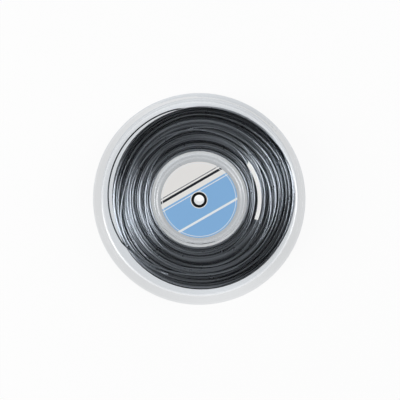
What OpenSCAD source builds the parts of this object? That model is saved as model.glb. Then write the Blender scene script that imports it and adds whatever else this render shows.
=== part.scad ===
// String reel: two clear moulded flanges snapped onto a milky barrel, a round label and a wound string.
// Axis along Z, rear rim on z = 0, label facing +Z, +Y is up in the front view. Millimetres.

/* [Overall] */
// Outside diameter of both flanges
flange_d = 190; // [170:1:220]
// Width over both rims, along the axle
reel_width = 40; // [34:0.5:50]
// Diameter of the hole for the axle
axle_d = 9; // [6:0.1:12]

/* [Flange moulding] */
// Wall thickness of the moulding
flange_t = 1.8; // [1.4:0.1:2.6]
// Height of the rim above the flat part of the flange
rim_rise = 5; // [3:0.1:6]
// Width of the level edge outside the slope
brim_w = 1.6; // [1.2:0.1:3]
// Slope of the rim
rim_slope = 45; // [30:1:60]
// Height of the hub cap above the flat part
cap_rise = 4.6; // [3:0.1:6]
// Level ring between the foot of the hub cap and the barrel
cap_margin = 0.1; // [0.1:0.1:1]
// Slope of the hub cap's side
cap_slope = 70; // [45:1:75]
// Radius at the inner side of the hub cap's shoulder
cap_shoulder_r = 0.5; // [0.5:0.1:3]
// Radius at the hollow side of each bend
bend_r = 1.5; // [1:0.1:2]
// Radius at the inner side of the rim's shoulder
shoulder_r = 1; // [0.5:0.1:2]
// Wall thickness of the axle sleeve
sleeve_t = 2.3; // [1.5:0.1:4]
// Length of the axle sleeve in each flange
sleeve_len = 14; // [8:0.5:16]
// Number of ribs under each hub cap
rib_count = 6; // [3:1:8]
// Thickness of each rib
rib_t = 1.2; // [0.8:0.1:2]
// Depth of the ribs below the hub cap
rib_depth = 6; // [3:0.5:8]

/* [Hub barrel] */
// Outside diameter of the barrel, where the string is wound
barrel_d = 86.6; // [84.5:0.1:92]
// Wall thickness of the barrel
barrel_t = 2.1; // [1.6:0.1:3]
// Play between the spigot and the barrel
fit_play = 0.1; // [0.05:0.05:0.3]
// Play between each end of the barrel and its flange
seat_play = 0.03; // [0.01:0.01:0.1]
// Length of the spigot in the barrel
spigot_len = 5; // [4:0.5:6]
// Wall thickness of the spigot
spigot_t = 1.8; // [1.2:0.1:2]

/* [Snap hooks] */
// Number of hooks on each flange
hook_count = 4; // [3:1:6]
// Angle of the first hook
hook_at = 52; // [0:1:90]
// Width of each hook, in degrees
hook_angle = 14; // [10:1:20]
// Slot on each side of a hook, in degrees
relief_angle = 3; // [2:0.5:5]
// Length of each hook
hook_len = 7.2; // [6:0.1:9]
// How far a hook reaches into its window
hook_catch = 1.2; // [0.6:0.1:1.6]
// Length of the hook's head
hook_head = 3; // [2:0.1:4]
// Play round a hook in its window
window_play = 0.3; // [0.2:0.05:0.6]

/* [Label and strip] */
// Bare edge of the hub cap round the label
label_margin = 2.6; // [0.1:0.1:5]
// Thickness of the label
label_t = 0.15; // [0.1:0.01:0.3]
// Play between the label's hole and the axle hole
label_play = 0.05; // [0:0.05:0.5]
// Distance from the barrel to the middle of the strip
strip_off = 11; // [4:0.1:24]
// Width of the strip
strip_w = 3.4; // [2:0.1:6]
// Length of the strip, in degrees
strip_angle = 57.5; // [30:0.5:120]
// Slant of the strip's upper end, away from a square cut
strip_slant = 36; // [0:1:50]
// Angle at which the strip starts
strip_at = -19.5; // [-90:0.5:90]
// Thickness of the strip
strip_t = 0.12; // [0.08:0.01:0.3]

/* [String] */
// Diameter of the string
string_d = 1.27; // [1.1:0.01:1.4]
// Least distance from the wound pack to the slope of the rim
pack_margin = 2.3; // [1:0.1:20]
// How far the pack sits off the axis, to the right and up
pack_shift = [2.6, 0.6];
// Rounding of the pack's outer edges
pack_round = 2.5; // [1:0.1:5]
// Gap between the pack and each flange
pack_gap = 0.15; // [0.1:0.05:0.5]
// Gap between the pack and the barrel
pack_play = 0.05; // [0.02:0.01:0.3]
// Where the loose turn leaves the pack and where it comes back, in degrees
loose_span = [97, 213];
// How far the loose turn stands off the pack
loose_off = 3.2; // [0:0.1:4]
// Where the loose turn's two ends are across the width of the pack, from 0 at the rear to 1
loose_level = [0.72, 0.9];
// Angle of the slot that the inner end of the string goes through
anchor_at = 290; // [0:1:359]
// Length of that slot, in degrees
anchor_angle = 14; // [8:1:20]
// Width of that slot
anchor_w = 2.4; // [1.8:0.1:4]
// Length of the string's end inside the hub, in degrees
start_angle = 40; // [20:1:60]

/* [Hidden] */
$fn = 96;
// Overlap of neighbouring pieces of the flange's section, so that they join
lap = 0.02;
// How far each bend's faces lie below those of the straight runs, so that no two faces touch along a line
skin = 0.005;
// How far a rib runs into the sleeve and the hub cap, and the cap into the sleeve
root = 0.4;
flange_r = flange_d / 2;
axle_r = axle_d / 2;
sleeve_r = axle_r + sleeve_t;
barrel_r = barrel_d / 2;
barrel_in = barrel_r - barrel_t;
spigot_r = barrel_in - fit_play;
rear_in = flange_t + rim_rise;
front_in = reel_width - rear_in;
barrel_len = front_in - rear_in;
// A bend on one side and a shoulder on the other turn the sheet, and a straight side joins them.
cap_turn_r = bend_r + flange_t + cap_shoulder_r;
cap_side = (cap_rise - (1 - cos(cap_slope)) * cap_turn_r) / sin(cap_slope);
cap_run = sin(cap_slope) * cap_turn_r + cap_side * cos(cap_slope);
cap_r = barrel_in - cap_margin - cap_run;
rim_turn_r = bend_r + flange_t + shoulder_r;
rim_side = (rim_rise - (1 - cos(rim_slope)) * rim_turn_r) / sin(rim_slope);
rim_run = sin(rim_slope) * rim_turn_r + rim_side * cos(rim_slope);
flat_r = flange_r - brim_w - rim_run;
flat_len = flat_r - cap_r - cap_run;
brim_len = brim_w - flange_t / 2;
label_r = cap_r - label_margin;
strip_r = barrel_r + strip_off;
pack_r = flat_r - pack_margin - norm(pack_shift);
pack_z = [rear_in + pack_gap, front_in - pack_gap];
loose_z = [for (f = loose_level) between(pack_z, f)];
cap_in = cap_rise;
cap_out = cap_in + flange_t;
hook_step = 360 / hook_count;
label_z = front_in + cap_out;
hook_play_angle = asin(window_play / barrel_in);
// Radius of the pack's surface at an angle about the axle
function pack_at(a) =
  let (along = pack_shift[0] * cos(a) + pack_shift[1] * sin(a))
  let (across = pack_shift[0] * sin(a) - pack_shift[1] * cos(a))
  along + sqrt(pack_r * pack_r - across * across);
// A value between two ends
function between(ends, f) = ends[0] + (ends[1] - ends[0]) * f;
// A point on a circle about the axle
function polar(r, a, z) = [r * cos(a), r * sin(a), z];
loose_steps = 58;
// Shape of the loose turn's arch: 1 is a sine, and less stands up faster at the ends
loose_arch = 0.65;
loose_path = [
  for (i = [0 : loose_steps])
    let (f = i / loose_steps, a = between(loose_span, f))
    let (r = pack_at(a) + string_d / 2 + pack_play + loose_off * pow(sin(180 * f), loose_arch))
    polar(r, a, between(loose_z, f))
];
// The inner end lies against the inside of the barrel, then slants out through the slot.
start_in = barrel_in - string_d / 2 - 0.2;
start_out = barrel_r - string_d / 2 - 0.1;
start_z = reel_width / 2;
start_steps = 20;
start_path = [
  for (i = [0 : start_steps])
    let (f = i / start_steps, slant = max(0, 1 - f * start_angle / (anchor_angle * 0.7)))
    let (reach = slant * slant * (3 - 2 * slant))
    polar(between([start_in, start_out], reach), anchor_at + anchor_angle * 0.3 - f * start_angle, start_z)
];

// Part of a ring between two angles, in the plane
module ring_sector(r_in, r_out, from, to) {
  reach = 2 * r_out;
  intersection() {
    difference() {
      circle(r_out);
      circle(r_in);
    }
    polygon([[0, 0], [reach * cos(from), reach * sin(from)], [reach * cos(to), reach * sin(to)]]);
  }
}

// A sheet's section laid out step by step: [length] runs straight, [angle, radius] bends up or down
module sheet(steps, i = 0) {
  if (i < len(steps)) {
    step = steps[i];
    if (len(step) == 1) {
      translate([-lap, 0]) square([step[0] + 2 * lap, flange_t]);
      translate([step[0], 0]) sheet(steps, i + 1);
    } else if (step[0] > 0) {
      translate([0, flange_t + step[1]]) {
        ring_sector(step[1] + skin, step[1] + flange_t - skin, -90, step[0] - 90);
        rotate(step[0]) translate([0, -flange_t - step[1]]) sheet(steps, i + 1);
      }
    } else {
      translate([0, -step[1]]) {
        ring_sector(step[1] + skin, step[1] + flange_t - skin, 90 + step[0], 90);
        rotate(step[0]) translate([0, step[1]]) sheet(steps, i + 1);
      }
    }
  } else {
    translate([skin, flange_t / 2]) circle(flange_t / 2 - skin);
  }
}

// Section of the flange from the axle hole to the rim, with the string side on height 0
module flange_section() {
  translate([sleeve_r - root, cap_in]) sheet([
    [cap_r - sleeve_r + root],
    [-cap_slope, cap_shoulder_r],
    [cap_side],
    [cap_slope, bend_r],
    [flat_len],
    [rim_slope, bend_r],
    [rim_side],
    [-rim_slope, shoulder_r],
    [brim_len]
  ]);
  translate([axle_r, cap_out - sleeve_len]) square([sleeve_t, sleeve_len]);
}

// Spigot wall between two hooks
module spigot_arc() {
  span = hook_step - hook_angle - 2 * relief_angle;
  rotate_extrude(angle = span)
    translate([spigot_r - spigot_t, -spigot_len]) square([spigot_t, spigot_len + 1]);
}

// A spring hook: a thin leg with a sloped head that reaches into the barrel's window
module snap_hook() {
  leg = spigot_r - spigot_t;
  rotate_extrude(angle = hook_angle) polygon([
    [leg, 1],
    [spigot_r, 1],
    [spigot_r, hook_head - hook_len],
    [spigot_r + hook_catch, hook_head - hook_len],
    [spigot_r + hook_catch, hook_head - hook_len - 0.6],
    [spigot_r - 0.6, -hook_len],
    [leg, -hook_len]
  ]);
}

// Ribs under the hub cap, from the sleeve to the start of the cap's shoulder
module cap_ribs() {
  for (i = [0 : rib_count - 1])
    rotate(i * 360 / rib_count)
      translate([sleeve_r - root, -rib_t / 2, cap_in - rib_depth + root])
        cube([cap_r - sleeve_r, rib_t, rib_depth]);
}

module flange_moulding() {
  rotate_extrude() flange_section();
  cap_ribs();
  for (i = [0 : hook_count - 1]) {
    rotate(hook_at + i * hook_step - hook_angle / 2) snap_hook();
    rotate(hook_at + i * hook_step + hook_angle / 2 + relief_angle) spigot_arc();
  }
}

module front_flange() {
  color([0.86, 0.89, 0.91, 0.35]) translate([0, 0, front_in]) flange_moulding();
}

module rear_flange() {
  color([0.86, 0.89, 0.91, 0.35]) translate([0, 0, rear_in]) rotate([180, 0, 0]) flange_moulding();
}

// Opening in the barrel for one hook
module hook_window() {
  span = hook_angle + 2 * hook_play_angle;
  rotate_extrude(angle = span)
    translate([barrel_in - 1, -hook_len - window_play])
      square([barrel_t + 2, hook_head + 2 * window_play]);
}

module hook_windows() {
  for (i = [0 : hook_count - 1])
    rotate(hook_at + i * hook_step - hook_angle / 2 - hook_play_angle) hook_window();
}

module hub_barrel() {
  color([0.93, 0.93, 0.92, 0.85]) difference() {
    translate([0, 0, rear_in + seat_play]) rotate_extrude()
      translate([barrel_in, 0]) square([barrel_t, barrel_len - 2 * seat_play]);
    translate([0, 0, front_in]) hook_windows();
    translate([0, 0, rear_in]) rotate([180, 0, 0]) hook_windows();
    rotate(anchor_at - anchor_angle / 2) rotate_extrude(angle = anchor_angle)
      translate([barrel_in - 1, start_z - anchor_w / 2]) square([barrel_t + 2, anchor_w]);
  }
}

module front_label() {
  color([0.52, 0.70, 0.87]) translate([0, 0, label_z]) rotate_extrude()
    translate([axle_r + label_play, 0]) square([label_r - axle_r - label_play, label_t]);
}

// A strip along an arc, square at one end and slanted at the other
module marker_strip() {
  color([0.93, 0.93, 0.92]) translate([0, 0, front_in + flange_t]) difference() {
    rotate(strip_at) rotate_extrude(angle = strip_angle)
      translate([strip_r - strip_w / 2, 0]) square([strip_w, strip_t]);
    rotate(strip_at + strip_angle) translate([strip_r + strip_w / 2, 0, -1]) rotate(180 + strip_slant)
      translate([-strip_w, -2 * strip_w]) cube([4 * strip_w, 2 * strip_w, strip_t + 2]);
  }
}

// Half section of the wound pack about its own middle
module pack_section() {
  height = pack_z[1] - pack_z[0];
  square([pack_r - pack_round, height]);
  translate([0, pack_round]) square([pack_r, height - 2 * pack_round]);
  for (z = [pack_round, height - pack_round])
    translate([pack_r - pack_round, z]) circle(pack_round);
}

module string_winding() {
  color([0.15, 0.16, 0.18]) difference() {
    translate([pack_shift[0], pack_shift[1], pack_z[0]]) rotate_extrude() pack_section();
    translate([0, 0, rear_in - 1]) cylinder(h = barrel_len + 2, r = barrel_r + pack_play);
  }
}

// A strand swept along points that turn about the axle
module strand(path, sides = 8) {
  last = len(path) - 1;
  rings = [
    for (i = [0 : last])
      let (run = path[min(i + 1, last)] - path[max(i - 1, 0)])
      let (side = [run[1], -run[0], 0] / norm([run[0], run[1]]))
      for (k = [0 : sides - 1])
        let (a = 360 * k / sides)
        path[i] + string_d / 2 * (cos(a) * side + sin(a) * [0, 0, 1])
  ];
  walls = [
    for (i = [0 : last - 1])
      for (k = [0 : sides - 1])
        let (n = (k + 1) % sides)
        [i * sides + k, i * sides + n, (i + 1) * sides + n, (i + 1) * sides + k]
  ];
  first_cap = [for (k = [0 : sides - 1]) sides - 1 - k];
  last_cap = [for (k = [0 : sides - 1]) last * sides + k];
  polyhedron(points = rings, faces = concat(walls, [first_cap, last_cap]), convexity = 6);
}

module loose_outer_turn() {
  color([0.15, 0.16, 0.18]) strand(loose_path);
}

module string_start() {
  color([0.15, 0.16, 0.18]) strand(start_path);
}

front_flange();
rear_flange();
hub_barrel();
front_label();
marker_strip();
string_winding();
loose_outer_turn();
string_start();
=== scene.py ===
"""Visual model of a clear string reel on a pale floor: wound string, clear mouldings, label and strip."""

import math

import bpy
import numpy as np
from mathutils import Matrix, Vector


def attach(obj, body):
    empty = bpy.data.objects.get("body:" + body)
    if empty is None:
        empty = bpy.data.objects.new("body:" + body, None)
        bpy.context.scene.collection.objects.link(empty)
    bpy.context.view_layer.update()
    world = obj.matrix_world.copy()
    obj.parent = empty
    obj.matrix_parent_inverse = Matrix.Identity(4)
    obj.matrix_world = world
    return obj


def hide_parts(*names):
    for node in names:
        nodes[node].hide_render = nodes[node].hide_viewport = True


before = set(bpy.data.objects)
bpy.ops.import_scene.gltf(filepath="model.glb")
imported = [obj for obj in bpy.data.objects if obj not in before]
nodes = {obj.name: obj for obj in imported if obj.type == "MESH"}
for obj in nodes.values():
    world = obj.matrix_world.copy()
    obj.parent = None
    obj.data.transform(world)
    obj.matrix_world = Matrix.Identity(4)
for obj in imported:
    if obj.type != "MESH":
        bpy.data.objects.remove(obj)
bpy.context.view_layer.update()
MM = 0.001
WHITE = (1.0, 1.0, 1.0, 1.0)

# Sizes shared with the part's source, in millimetres and degrees
STRING_D = 1.27
BARREL_R = 43.3
FLANGE_R = 95.0
REAR_IN, FRONT_IN = 6.8, 33.2
PACK_SHIFT = (2.6, 0.6)
PACK_R = 81.65
LOOSE_SPAN = (97.0, 213.0)
LOOSE_OFF = 3.2
LOOSE_ARCH = 0.65
LOOSE_GAP = 0.05
LOOSE_Z = (25.74, 30.44)

# The wound string: its turns, the steps in each, and the heights of its middle next to the flanges
TURNS = 515
STEPS = 72
FLANGE_GAP = 0.02
REAR_Z = REAR_IN + STRING_D / 2 + FLANGE_GAP
FACE_Z = FRONT_IN - STRING_D / 2 - FLANGE_GAP
# How far the outermost turns stand proud of the plain pack
SWELL = 0.9
# Uneven places of the wound pack: the angle, half width in degrees and height of each
LUMPS = ((15.0, 28.0, 1.5), (-48.0, 22.0, -0.9))
# Turns at which the wound string is cut into pieces
CUTS = (0, 150, 280, 400, TURNS)
# Smoothing of the string's path, in steps, and the sides of its round section
PATH_SIGMA = 5.0
WOUND_SIDES, LOOSE_SIDES = 8, 12
# Steps of a turn at which the loose turn's tail lies over the front of the pack
TAIL_STEPS = np.arange(43, 49)
# Angle in which the tail's tone rises to full, a painted highlight on it where it lies over the pack, in
# radians
TAIL_HIGHLIGHT_RISE = 0.1

# Tint of the clear moulding from the axle outwards, its own grey with painted shade and light: the darker cap
# and ring round the label, the slope past the rim's bend and the lip's edge are painted shade, and the
# lighter ring at the barrel's end is painted light; where each shade begins and is reached, and the shade
SLEEVE_TINT = 1.0
TINTS_AND_PAINTED_SHADE = (
    (6.9, 7.2, 0.55),
    (36.4, 37.4, 0.66),
    (39.6, 41.0, 0.985),
    (43.2, 43.8, 0.91),
    (86.4, 86.8, 0.92),
    (87.6, 88.2, 0.77),
    (93.0, 93.4, 0.82),
)
# How much stronger a shade's green and blue are than its red
COOL_GREEN, COOL_BLUE = 1.006, 1.013
# Bends of the clear moulding that shine: the middle radius, half width and gloss of each
BENDS = ((38.9, 2.4, 0.6), (87.2, 1.1, 1.0))

# The label's print: the lean of its stripes in degrees, and their places across it
LABEL_LEAN = 120.0
PALE_FROM = 9.0
DARK_RULE = (13.4, 15.6)
THIN_RULE = (17.0, 17.8)
UPPER_LINE = (6.6, 7.4)
LOWER_LINE = (-17.0, -15.0)
# Radii of the label's edge line and of the white and black rings at its hole
EDGE_LINE = (32.6, 33.1)
WHITE_RING_R = 7.7
BLACK_RING_R = 7.0
# Normals that point further down than this are the label's back
BACK_NORMAL = -0.5

# White shown by the floor to the camera and in reflections, and how much less through clear plastic
FLOOR_WHITE = 0.92
FLOOR_LESS = 0.31
FLOOR_SIDE = 8.0

# Camera: the photo's size and the flange's radius in it, in pixels, then the point looked at and the distance
# to it, in metres, the tilt towards the top and the right, in degrees, and the sensor in millimetres
PHOTO_PX = 400
FLANGE_PX = 106.3
AIM = (0.0008, -0.0001, 0.040)
LIFT, TURN = 4.7, 0.8
DISTANCE = 0.9
SENSOR = 36.0

# Light: the room's level, and each lamp's place, size and power
ROOM_LIGHT = 0.1
LAMP_AIM = (0.0, 0.0, 0.02)
SIDE_BOX, END_BOX = (0.7, 1.2), (1.2, 0.6)
LAMPS = (
    ("left_box", (-1.1, -0.15, 0.75), SIDE_BOX, 14.0),
    ("right_box", (1.05, 0.38, 0.75), SIDE_BOX, 11.5),
    ("far_box", (0.0, 1.0, 0.85), END_BOX, 0.8),
    ("near_box", (0.0, -1.0, 0.85), END_BOX, 0.7),
)
BOUNCES = 24


class Nodes:
    """Short calls for building the node tree of a material or a world."""

    def __init__(self, owner, output="ShaderNodeOutputMaterial"):
        owner.use_nodes = True
        self.owner = owner
        self.tree = owner.node_tree
        self.tree.nodes.clear()
        self.out = self.tree.nodes.new(output)

    def put(self, socket, value):
        """Links a socket to another one, or sets its value."""
        if isinstance(value, bpy.types.NodeSocket):
            self.tree.links.new(value, socket)
        else:
            socket.default_value = value

    def add(self, kind, links=None, **settings):
        """A node with its settings, and its inputs set or linked by name or number."""
        node = self.tree.nodes.new(kind)
        for key, value in settings.items():
            setattr(node, key, value)
        for key, value in (links or {}).items():
            self.put(node.inputs[key], value)
        return node

    def math(self, operation, a, b=0.0, c=0.0, clamp=False):
        """The result of a Math node."""
        node = self.add("ShaderNodeMath", {0: a, 1: b, 2: c}, operation=operation, use_clamp=clamp)
        return node.outputs[0]

    def noise(self, coords, scale, detail=4.0, roughness=0.55):
        """A noise value about one half."""
        links = {"Vector": coords, "Scale": scale, "Detail": detail, "Roughness": roughness}
        return self.add("ShaderNodeTexNoise", links).outputs[0]

    def blend(self, factor, a, b):
        """A colour between a and b."""
        node = self.add("ShaderNodeMix", data_type="RGBA")
        colour_a, colour_b = (socket for socket in node.inputs if socket.type == "RGBA")
        self.put(node.inputs[0], factor)
        self.put(colour_a, a)
        self.put(colour_b, b)
        return next(socket for socket in node.outputs if socket.type == "RGBA")

    def spread(self, value, low, high):
        """A 0 to 1 value moved to a range."""
        links = {"Value": value, "To Min": low, "To Max": high}
        return self.add("ShaderNodeMapRange", links).outputs["Result"]

    def between(self, value, low, high):
        """1 where a value lies between two limits."""
        above = self.math("GREATER_THAN", value, low)
        below = self.math("LESS_THAN", value, high)
        return self.math("MULTIPLY", above, below)

    def geometry(self, output):
        """Position in metres, or the normal, in the frame of the part."""
        return self.add("ShaderNodeNewGeometry").outputs[output]

    def axes(self, vector):
        """The X, Y and Z of a vector."""
        return self.add("ShaderNodeSeparateXYZ", {0: vector}).outputs

    def bump(self, height, strength, distance):
        """A normal roughened by a height."""
        links = {"Strength": strength, "Distance": distance, "Height": height}
        return self.add("ShaderNodeBump", links).outputs["Normal"]

    def finish(self, shader):
        """Links the shader to the output and hands over the material or world."""
        self.tree.links.new(shader, self.out.inputs["Surface"])
        return self.owner


def srgb(r, g, b):
    """A linear colour from 8-bit values."""
    def line(v):
        v /= 255
        return v / 12.92 if v <= 0.04045 else ((v + 0.055) / 1.055) ** 2.4
    return (line(r), line(g), line(b), 1.0)


def clear_plastic():
    """Clear moulded plastic with faint flow marks and a tint painted darker and lighter in rings as shade and
    light; lamps shine through it.
    """
    n = Nodes(bpy.data.materials.new("clear_plastic"))
    at = n.geometry("Position")
    ripple = n.noise(at, scale=60.0, detail=3.0)
    x, y = n.axes(at)[:2]
    flat = n.add("ShaderNodeCombineXYZ", {"X": x, "Y": y})
    radius = n.add("ShaderNodeVectorMath", {0: flat.outputs[0]}, operation="LENGTH").outputs["Value"]
    bends = 0.0
    for middle, half, gloss in BENDS:
        ring = n.math("COMPARE", radius, middle * MM, half * MM)
        bends = n.math("MAXIMUM", bends, n.math("MULTIPLY", ring, gloss))
    # The tint by radius, with rings of painted shade and painted light
    tint_and_painted_shade = (SLEEVE_TINT, SLEEVE_TINT, SLEEVE_TINT, 1.0)
    for start, end, shade in TINTS_AND_PAINTED_SHADE:
        tint_and_shade_ring = n.add("ShaderNodeMapRange", {"Value": radius, "From Min": start * MM, "From Max": end * MM})
        tint_and_painted_shade = n.blend(tint_and_shade_ring.outputs["Result"], tint_and_painted_shade, (shade, shade * COOL_GREEN, shade * COOL_BLUE, 1.0))
    body = n.add("ShaderNodeBsdfPrincipled", {
        "Base Color": tint_and_painted_shade,
        "Roughness": n.spread(n.noise(at, scale=220.0), low=0.006, high=0.02),
        "IOR": 1.12,
        "Transmission Weight": 1.0,
        "Coat Weight": n.spread(bends, low=0.02, high=1.0),
        "Coat Roughness": 0.35,
        "Coat IOR": 2.3,
        "Normal": n.bump(ripple, strength=0.004, distance=0.001),
    })
    light = n.add("ShaderNodeBsdfTransparent", {"Color": (0.95, 0.96, 0.97, 1.0)})
    path = n.add("ShaderNodeLightPath").outputs
    passing = n.math("MAXIMUM", path["Is Shadow Ray"], path["Is Diffuse Ray"])
    passing = n.math("MAXIMUM", passing, path["Is Glossy Ray"])
    mix = n.add("ShaderNodeMixShader", {0: passing, 1: body.outputs[0], 2: light.outputs[0]})
    return n.finish(mix.outputs[0])


def milky_plastic():
    """White moulded plastic that lets some light through."""
    n = Nodes(bpy.data.materials.new("milky_plastic"))
    see_through = 0.1
    cloud = n.noise(n.geometry("Position"), scale=90.0, detail=3.0)
    colour = n.blend(cloud, srgb(247, 247, 245), srgb(238, 238, 237))
    body = n.add("ShaderNodeBsdfPrincipled", {
        "Base Color": colour,
        "Roughness": n.spread(cloud, low=0.3, high=0.42),
    })
    glow = n.add("ShaderNodeBsdfTranslucent", {"Color": colour})
    mix = n.add("ShaderNodeMixShader", {0: see_through, 1: body.outputs[0], 2: glow.outputs[0]})
    return n.finish(mix.outputs[0])


def string_material():
    """Dark grey extruded string with a satin skin, small changes of tone from turn to turn, and painted
    highlights where its tone is raised.
    """
    n = Nodes(bpy.data.materials.new("string"))
    dark, light, dull = srgb(62, 67, 73), srgb(206, 211, 218), srgb(60, 62, 68)
    # Its tone attribute carries random changes of tone and painted highlights
    tone = n.add("ShaderNodeAttribute", attribute_name="tone").outputs["Fac"]
    grain = n.noise(n.geometry("Position"), scale=120.0, detail=2.0)
    body = n.add("ShaderNodeBsdfPrincipled", {
        "Base Color": n.blend(n.spread(grain, low=0.0, high=0.2), n.blend(tone, dark, light), dull),
        "Metallic": 0.98,
        "Roughness": n.spread(grain, low=0.24, high=0.34),
    })
    return n.finish(body.outputs[0])


def label_material():
    """Printed film: blue field, pale segment, plain rules and lines, rings at the hole, and a white back."""
    n = Nodes(bpy.data.materials.new("label_print"))
    blue, deep_blue = srgb(140, 187, 232), srgb(115, 164, 217)
    pale, dark, grey = srgb(241, 239, 237), srgb(38, 40, 46), srgb(120, 124, 130)
    upper, lower, edge = srgb(236, 240, 244), srgb(240, 243, 246), srgb(238, 241, 244)
    white, black, plain = srgb(240, 240, 240), srgb(6, 6, 7), srgb(232, 232, 230)
    at = n.geometry("Position")
    x, y = (n.math("DIVIDE", axis, MM) for axis in n.axes(at)[:2])
    radius = n.math("SQRT", n.math("ADD", n.math("MULTIPLY", x, x), n.math("MULTIPLY", y, y)))
    lean = math.radians(LABEL_LEAN)
    across = n.math("ADD", n.math("MULTIPLY", x, math.cos(lean)), n.math("MULTIPLY", y, math.sin(lean)))
    grain = n.noise(at, scale=700.0)
    colour = n.blend(n.spread(grain, low=0.0, high=0.12), blue, deep_blue)
    colour = n.blend(n.math("GREATER_THAN", across, PALE_FROM), colour, pale)
    for value, limits, shade in (
        (across, DARK_RULE, dark),
        (across, THIN_RULE, grey),
        (across, UPPER_LINE, upper),
        (across, LOWER_LINE, lower),
        (radius, EDGE_LINE, edge),
    ):
        colour = n.blend(n.between(value, *limits), colour, shade)
    colour = n.blend(n.math("LESS_THAN", radius, WHITE_RING_R), colour, white)
    colour = n.blend(n.math("LESS_THAN", radius, BLACK_RING_R), colour, black)
    back = n.math("LESS_THAN", n.axes(n.geometry("Normal"))["Z"], BACK_NORMAL)
    body = n.add("ShaderNodeBsdfPrincipled", {
        "Base Color": n.blend(back, colour, plain),
        "Roughness": n.spread(grain, low=0.32, high=0.48),
        "Specular IOR Level": 0.1,
    })
    return n.finish(body.outputs[0])


def film_material():
    """White film with a faint paper grain."""
    n = Nodes(bpy.data.materials.new("white_film"))
    grain = n.noise(n.geometry("Position"), scale=800.0)
    body = n.add("ShaderNodeBsdfPrincipled", {
        "Base Color": n.blend(grain, srgb(254, 254, 253), srgb(246, 246, 245)),
        "Roughness": n.spread(grain, low=0.4, high=0.6),
    })
    return n.finish(body.outputs[0])


def floor_material():
    """Pale floor that looks white to the camera and in reflections, with the reel's shadow left on it."""
    n = Nodes(bpy.data.materials.new("floor"))
    path = n.add("ShaderNodeLightPath").outputs
    seen = n.math("MAXIMUM", path["Is Camera Ray"], path["Is Glossy Ray"])
    less = n.math("MULTIPLY", path["Is Transmission Ray"], FLOOR_LESS)
    share = n.math("SUBTRACT", n.math("MULTIPLY", seen, FLOOR_WHITE), less)
    matte = n.add("ShaderNodeBsdfDiffuse", {"Color": (0.9, 0.9, 0.9, 1.0)})
    white = n.add("ShaderNodeEmission", {"Color": WHITE, "Strength": 1.0})
    mix = n.add("ShaderNodeMixShader", {0: share, 1: matte.outputs[0], 2: white.outputs[0]})
    return n.finish(mix.outputs[0])


def room():
    """Dim world that looks white to the camera, through clear plastic and in what the outside reflects.

    Reflections that are themselves seen through the clear plastic show the dim room, so that the string
    behind it stays dark.
    """
    n = Nodes(bpy.data.worlds.new("room"), "ShaderNodeOutputWorld")
    path = n.add("ShaderNodeLightPath").outputs
    direct = n.math("MAXIMUM", path["Is Camera Ray"], path["Is Transmission Ray"])
    outside = n.math("SUBTRACT", path["Is Glossy Ray"], path["Transmission Depth"], clamp=True)
    level = n.spread(n.math("MAXIMUM", direct, outside), low=ROOM_LIGHT, high=1.0)
    return n.finish(n.add("ShaderNodeBackground", {"Color": WHITE, "Strength": level}).outputs[0])


def smooth(values, sigma, tails=3):
    """Gaussian smoothing of a list of numbers."""
    n = int(tails * sigma) + 1
    kernel = np.exp(-0.5 * (np.arange(-n, n + 1) / sigma) ** 2)
    return np.convolve(np.pad(values, n, mode="edge"), kernel / kernel.sum(), mode="valid")


def ramp(values, start, length):
    """Rises from 0 to 1 over a length."""
    return np.clip((values - start) / length, 0, 1)


def step_angles(count):
    """Angle about the axle at every step of the winding, in radians."""
    return 2 * math.pi * np.arange(count) / STEPS


def guide(rng, count, pitch=1.5, dwell=1.5):
    """Height and layer at every step, as the string is led to and fro and lingers at each end."""
    level, layer = np.empty(count), np.empty(count, int)
    place, sign, edge, layers = REAR_Z, 1, FACE_Z, 0
    for i in range(count):
        level[i], layer[i] = place, layers
        place += sign * pitch / STEPS
        if sign > 0 and place >= edge:
            sign, edge, layers = -1, REAR_Z - dwell * rng.uniform(), layers + 1
        elif sign < 0 and place <= edge:
            sign, edge, layers = 1, FACE_Z + dwell * rng.uniform(), layers + 1
    return level, layer


def wander(rng, count, drifts=((0.3, 0.5), (1.6, 0.7))):
    """Sideways drift of the string at every step; each drift has a run in turns and a strength."""
    total = np.zeros(count)
    for run, strength in drifts:
        drift = smooth(rng.normal(size=count), STEPS * run)
        total += strength * drift / drift.std()
    return total


def standoff(rng, layer, angle, waves=4, keep=0.15, depth=7.0, least=0.55, most=4.2, firm=3, eased=7):
    """How far each layer's end turns stay from the flange, drifting from layer to layer, in millimetres."""
    swing = rng.normal(size=(waves, 2))
    table = []
    for _ in range(layer.max() + 1):
        swing = keep * swing + math.sqrt(1 - keep ** 2) * rng.normal(size=(waves, 2))
        table.append(swing)
    table = np.array(table)[layer]
    away = np.zeros(len(angle))
    for k in range(waves):
        away += table[:, k, 0] * np.cos((k + 1) * angle) + table[:, k, 1] * np.sin((k + 1) * angle)
    return ramp(layer, firm, eased) * np.clip(depth * (away / math.sqrt(waves) - least), 0, most)


def led_heights(count, noise=0.25, seed=7):
    """Height at which the string is led to the reel at every step, before it slides into a groove."""
    rng = np.random.default_rng(seed)
    level, layer = guide(rng, count)
    level = level + noise * wander(rng, count)
    angle = step_angles(count)
    level = np.minimum(level, FACE_Z - standoff(rng, (layer + 1) // 2, angle))
    return np.maximum(level, REAR_Z + standoff(rng, layer // 2, angle))


def pull_taut(line, fixed, passes=6):
    """Lifts a taut strand off the hollows below it, in place; its first radii stay as they were laid."""
    dip = (2 * math.pi / STEPS) ** 2 / 2
    for _ in range(passes):
        taut = (line[:-2] + line[2:]) / 2 - dip * line[1:-1]
        line[1:-1] = np.maximum(line[1:-1], taut)
        line[:len(fixed)] = fixed


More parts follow.
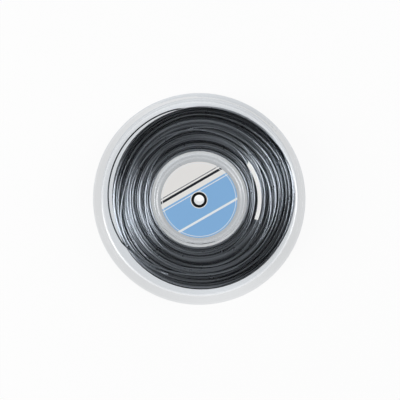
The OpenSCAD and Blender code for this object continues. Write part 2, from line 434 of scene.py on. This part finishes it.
def wind(cell=0.05, reach=13, pull=0.25, slack=0.6, ahead=8, stiff=6):
    """Winds the string turn by turn: each turn slides into the nearest groove and lies on those below.

    The surface wound so far is kept in cells across the reel. A stretch of the turn tries the cells within
    reach, against a pull back to its own place, and stays stiff over a few steps. It may sink below the
    middle of the surface by the slack, and it looks some steps ahead so that turns follow on smoothly.
    Returns the radius and height of the string's middle at every step, in millimetres.
    """
    level = led_heights((TURNS + 1) * STEPS)
    cells = int((FACE_Z - REAR_Z) / cell) + 2
    least = BARREL_R + STRING_D / 2
    surface = np.full((STEPS, cells), least)
    span = int(STRING_D / cell)
    offsets = np.arange(-span, span + 1)
    bump = np.sqrt(np.maximum(STRING_D ** 2 - (offsets * cell) ** 2, 0))
    shifts = np.arange(-reach, reach + 1)
    rows = np.arange(STEPS)
    around = np.concatenate([rows[-ahead:], rows, rows[:ahead]])
    window = np.hanning(2 * ahead + 3)[1:-1]
    window /= window.sum()
    radius, height = np.empty(TURNS * STEPS), np.empty(TURNS * STEPS)
    last_shift, last_radius = np.zeros(ahead), np.full(ahead, least)

    def cell_of(z):
        """The cell of the surface below a height."""
        return np.round((z - REAR_Z) / cell).astype(int)

    for start in range(0, TURNS * STEPS, STEPS):
        turn = slice(start, start + STEPS)
        # The groove that each stretch of the turn slides into
        near = level[np.maximum(np.arange(start - ahead, start + STEPS + ahead), 0)]
        tries = np.clip(cell_of(near)[:, None] + shifts, 0, cells - 1)
        cost = surface[around[:, None], tries] + pull * (shifts * cell) ** 2
        sums = np.cumsum(np.vstack([np.zeros((1, len(shifts))), cost]), 0)
        best = shifts[np.argmin(sums[2 * stiff + 1:] - sums[:-2 * stiff - 1], 1)] * cell
        best = best[ahead - stiff:ahead - stiff + STEPS]
        slide = np.concatenate([last_shift, best, best[-1:].repeat(ahead)])
        last_shift = slide[-2 * ahead:-ahead]
        slide = np.convolve(slide, window, mode="valid")
        here = np.clip(level[turn] + slide, REAR_Z, FACE_Z)
        following = np.clip(level[start + STEPS:start + STEPS + ahead] + slide[-1], REAR_Z, FACE_Z)
        # The radius at which it comes to lie
        at = cell_of(here)
        held = np.median(surface, 1) - slack
        rest, rest_next = surface[rows, at], surface[rows[:ahead], cell_of(following)]
        line = np.concatenate([last_radius, np.maximum(rest, held), np.maximum(rest_next, held[:ahead])])
        pull_taut(line, last_radius)
        laid = line[ahead:ahead + STEPS]
        last_radius = laid[-ahead:]
        radius[turn], height[turn] = laid, here
        # The surface that the next turns lie on
        under = at[:, None] + offsets
        inside = (under >= 0) & (under < cells)
        row = np.broadcast_to(rows[:, None], under.shape)
        np.maximum.at(surface, (row[inside], under[inside]), (laid[:, None] + bump)[inside])
    return radius, height


def pack_at(angle):
    """Radius of the pack's surface at an angle about the axle, in radians."""
    along = PACK_SHIFT[0] * np.cos(angle) + PACK_SHIFT[1] * np.sin(angle)
    across = PACK_SHIFT[0] * np.sin(angle) - PACK_SHIFT[1] * np.cos(angle)
    return along + np.sqrt(PACK_R ** 2 - across ** 2)


def outline(angle):
    """Radius of the string's own surface, with the lumps of an uneven winding."""
    total = pack_at(angle) + SWELL
    for at, width, rise in LUMPS:
        off = (np.degrees(angle) - at + 180) % 360 - 180
        total = total + rise * np.exp(-0.5 * (off / width) ** 2)
    return total


def fit_outline(radius, angle, top_turns=2, sigma=1.5, tuck_steps=20, tuck=1.5):
    """Radii scaled to fill the pack's outline, with the string's outer end tucked in."""
    top = np.sort(radius.reshape(TURNS, STEPS), 0)[-top_turns:].mean(0) + STRING_D / 2
    top = np.tile(smooth(np.tile(top, 3), sigma)[STEPS:2 * STEPS], TURNS)
    fitted = BARREL_R + (radius - BARREL_R) * (outline(angle) - BARREL_R) / (top - BARREL_R)
    fitted[-tuck_steps:] -= tuck * np.linspace(0, 1, tuck_steps) ** 2
    return fitted


def turn_tones_and_highlights(count, level=0.33, inner_highlight=0.52, uneven=0.34, inner_turns=260, run=0.5, seed=3):
    """Tone of the string at every step, from 0 to 1: uneven at random, and lighter in the inner turns as a
    painted highlight.
    """
    drift = smooth(np.random.default_rng(seed).normal(size=count), STEPS * run)
    # Painted highlight: the inner turns made lighter
    depth = np.maximum(1 - np.arange(count) / (inner_turns * STEPS), 0)
    return np.clip(level + inner_highlight * depth + uneven * drift / drift.std(), 0, 1)


def make_room(radius, height, columns, r, z, slack):
    """Pushes turns back from a strand that lies on them at the front, at each step of the strand."""
    for column, strand_r, strand_z, spare in zip(columns, r, z, slack):
        room = STRING_D ** 2 - (radius[:, column] - strand_r) ** 2
        under = (room > 0) & (height[:, column] > strand_z - STRING_D)
        limit = strand_z - np.sqrt(room[under]) + spare
        height[under, column] = np.minimum(height[under, column], limit)


def slide_turns(radius, height, tones_and_highlights, count=14, zone=(54, 75), depth=0.3, reaches=(9, 18), slips=(2.5, 5.5),
                steepness=3, seed=5):
    """Lets a few end turns at the front slide over their neighbours, in place, and lightens their tone, a
    painted highlight on top of the light they catch.
    """
    rng = np.random.default_rng(seed)
    flat_r, flat_z = radius.reshape(-1), height.reshape(-1)
    ends = np.flatnonzero((flat_z > FACE_Z - depth) & (flat_r > zone[0]) & (flat_r < zone[1]))
    for middle in rng.choice(ends, count, replace=False):
        reach = rng.integers(*reaches)
        run = np.arange(middle - reach, middle + reach + 1)
        ease = np.cos(np.linspace(-1, 1, len(run)) * math.pi / 2) ** 2
        firm = np.minimum(steepness * ease, 1)
        r = flat_r[run] + rng.choice([-1, 1]) * rng.uniform(*slips) * ease
        z = flat_z[run] + (FACE_Z - flat_z[run]) * firm
        make_room(radius, height, run % STEPS, r, z, STRING_D * (1 - firm))
        flat_r[run], flat_z[run] = r, z
        # Painted highlight: the slid turn's tone raised towards full
        tones_and_highlights[run] += (1 - tones_and_highlights[run]) * ease


def loose_turn_run(start=-0.08, end=1.3, points=166):
    """Radii, angles and heights of the loose turn, out of the pack, round it and on over its front.

    Places along it are shares of the span in which it stands off the pack.
    """
    leaves, comes_back, tail_up, tail_in = 0.06, 0.97, 0.96, 1.24
    lead_slope, tail_slope, rise_run, dive_run, dive_depth = 17, 20, 0.1, 0.06, 1.6
    share = np.linspace(start, end, points)
    span = np.clip(share, 0, 1)
    angle = np.radians(LOOSE_SPAN[0] + (LOOSE_SPAN[1] - LOOSE_SPAN[0]) * share)
    arch = LOOSE_OFF * np.maximum(np.sin(math.pi * span), 0) ** LOOSE_ARCH
    sink = np.clip(leaves - share, 0, -start) * lead_slope + np.clip(share - comes_back, 0, 1) * tail_slope
    height = LOOSE_Z[0] + (LOOSE_Z[1] - LOOSE_Z[0]) * span
    height = height + (FACE_Z - height) * ramp(share, tail_up, rise_run) ** 2
    height = height - dive_depth * ramp(share, tail_in, dive_run)
    return pack_at(angle) + STRING_D / 2 + LOOSE_GAP + arch - sink, angle, height


def tube(name, path, sides, tones_and_highlights):
    """A smooth round strand along points that turn about the axle, with closed ends."""
    count = len(path)
    run = np.gradient(path, axis=0)
    run /= np.linalg.norm(run, axis=1)[:, None]
    side = np.cross(run, (0.0, 0.0, 1.0))
    side /= np.linalg.norm(side, axis=1)[:, None]
    up = np.cross(side, run)
    turn = 2 * math.pi * np.arange(sides) / sides
    ring = np.cos(turn)[None, :, None] * side[:, None, :] + np.sin(turn)[None, :, None] * up[:, None, :]
    points = (path[:, None, :] + ring * STRING_D / 2).reshape(-1, 3) * MM
    first = np.arange(count - 1)[:, None] * sides + np.arange(sides)[None, :]
    second = np.arange(count - 1)[:, None] * sides + (np.arange(sides) + 1)[None, :] % sides
    faces = np.stack([first, first + sides, second + sides, second], -1).reshape(-1, 4).tolist()
    faces.append(list(range(sides)))
    faces.append([count * sides - 1 - k for k in range(sides)])
    mesh = bpy.data.meshes.new(name)
    mesh.from_pydata(points.tolist(), [], faces)
    mesh.shade_smooth()
    # Tone of every point, painted highlights included
    tone = mesh.attributes.new("tone", "FLOAT", "POINT")
    tone.data.foreach_set("value", np.repeat(tones_and_highlights, sides).astype(np.float32))
    piece = bpy.data.objects.new(name, mesh)
    bpy.context.scene.collection.objects.link(piece)
    return piece


def round_path(radius, angle, height):
    """Points from radii, angles and heights."""
    return np.stack([radius * np.cos(angle), radius * np.sin(angle), height], 1)


def add_area(name, place, size, power):
    """A soft lamp that faces the reel."""
    data = bpy.data.lights.new(name, "AREA")
    data.shape = "RECTANGLE"
    data.size, data.size_y = size
    data.energy = power
    lamp = bpy.data.objects.new(name, data)
    lamp.location = place
    lamp.rotation_euler = (Vector(LAMP_AIM) - Vector(place)).to_track_quat("-Z", "Y").to_euler()
    bpy.context.scene.collection.objects.link(lamp)


def add_camera():
    """A camera above the label, a little towards the top of the picture."""
    back = Vector((math.tan(math.radians(TURN)), math.tan(math.radians(LIFT)), 1.0)).normalized()
    right = Vector((1.0, 0.0, 0.0))
    right = (right - back * right.dot(back)).normalized()
    up = back.cross(right)
    data = bpy.data.cameras.new("camera")
    data.sensor_width = SENSOR
    data.lens = FLANGE_PX / FLANGE_R * SENSOR / PHOTO_PX * DISTANCE / MM
    data.clip_start = 0.05
    data.clip_end = 20.0
    camera = bpy.data.objects.new("camera", data)
    spot = Matrix.Translation(Vector(AIM) + back * DISTANCE)
    camera.matrix_world = spot @ Matrix((right, up, back)).transposed().to_4x4()
    bpy.context.scene.collection.objects.link(camera)
    return camera


scene = bpy.context.scene
scene.view_settings.view_transform = "Standard"
scene.cycles.max_bounces = BOUNCES
scene.cycles.transmission_bounces = BOUNCES
scene.cycles.transparent_max_bounces = BOUNCES

# The moulded and printed pieces, and the string's inner end, as they are in the frame
clear = clear_plastic()
string = string_material()
for name, material in (
    ("front_flange", clear),
    ("rear_flange", clear),
    ("hub_barrel", milky_plastic()),
    ("front_label", label_material()),
    ("marker_strip", film_material()),
    ("string_start", string),
):
    nodes[name].data.materials.clear()
    nodes[name].data.materials.append(material)

# The path of the wound string, and of the loose turn that lies over it
radius, height = (smooth(run, PATH_SIGMA) for run in wind())
angle = step_angles(len(radius))
radius = fit_outline(radius, angle)
# Tone of the string: random, with painted highlights on the inner turns and on turns that slide
tones_and_highlights = turn_tones_and_highlights(len(radius))
by_turn = radius.reshape(TURNS, STEPS), height.reshape(TURNS, STEPS)
slide_turns(*by_turn, tones_and_highlights)
loose_r, loose_angle, loose_z = loose_turn_run()
tail_r, tail_z = (np.interp(step_angles(STEPS)[TAIL_STEPS], loose_angle, run) for run in (loose_r, loose_z))
make_room(*by_turn, TAIL_STEPS, tail_r, tail_z, np.zeros(len(TAIL_STEPS)))

# The wound string, in stretches of whole turns
for k, (first, last) in enumerate(zip(CUTS[:-1], CUTS[1:])):
    part = slice(first * STEPS, min(last * STEPS + 1, len(radius)))
    path = round_path(radius[part], angle[part], height[part])
    piece = tube(f"string_layers_{k + 1}", path, WOUND_SIDES, tones_and_highlights[part])
    piece.data.materials.append(string)
    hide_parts("string_winding")
    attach(piece, "root")

# The loose turn
# Painted highlight: the loose turn is dark round the rim and its tail light over the pack
loose_highlight_tones = ramp(loose_angle, math.radians(LOOSE_SPAN[1]), TAIL_HIGHLIGHT_RISE)
loose = tube("loose_turn", round_path(loose_r, loose_angle, loose_z), LOOSE_SIDES, loose_highlight_tones)
loose.data.materials.append(string)
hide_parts("loose_outer_turn")
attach(loose, "root")

# Floor
far = FLOOR_SIDE / 2
mesh = bpy.data.meshes.new("floor")
mesh.from_pydata([(-far, -far, 0), (far, -far, 0), (far, far, 0), (-far, far, 0)], [], [(0, 1, 2, 3)])
mesh.materials.append(floor_material())
floor = bpy.data.objects.new("floor", mesh)
scene.collection.objects.link(floor)

# Camera, lamps and room
scene.camera = add_camera()
for lamp in LAMPS:
    add_area(*lamp)
scene.world = room()
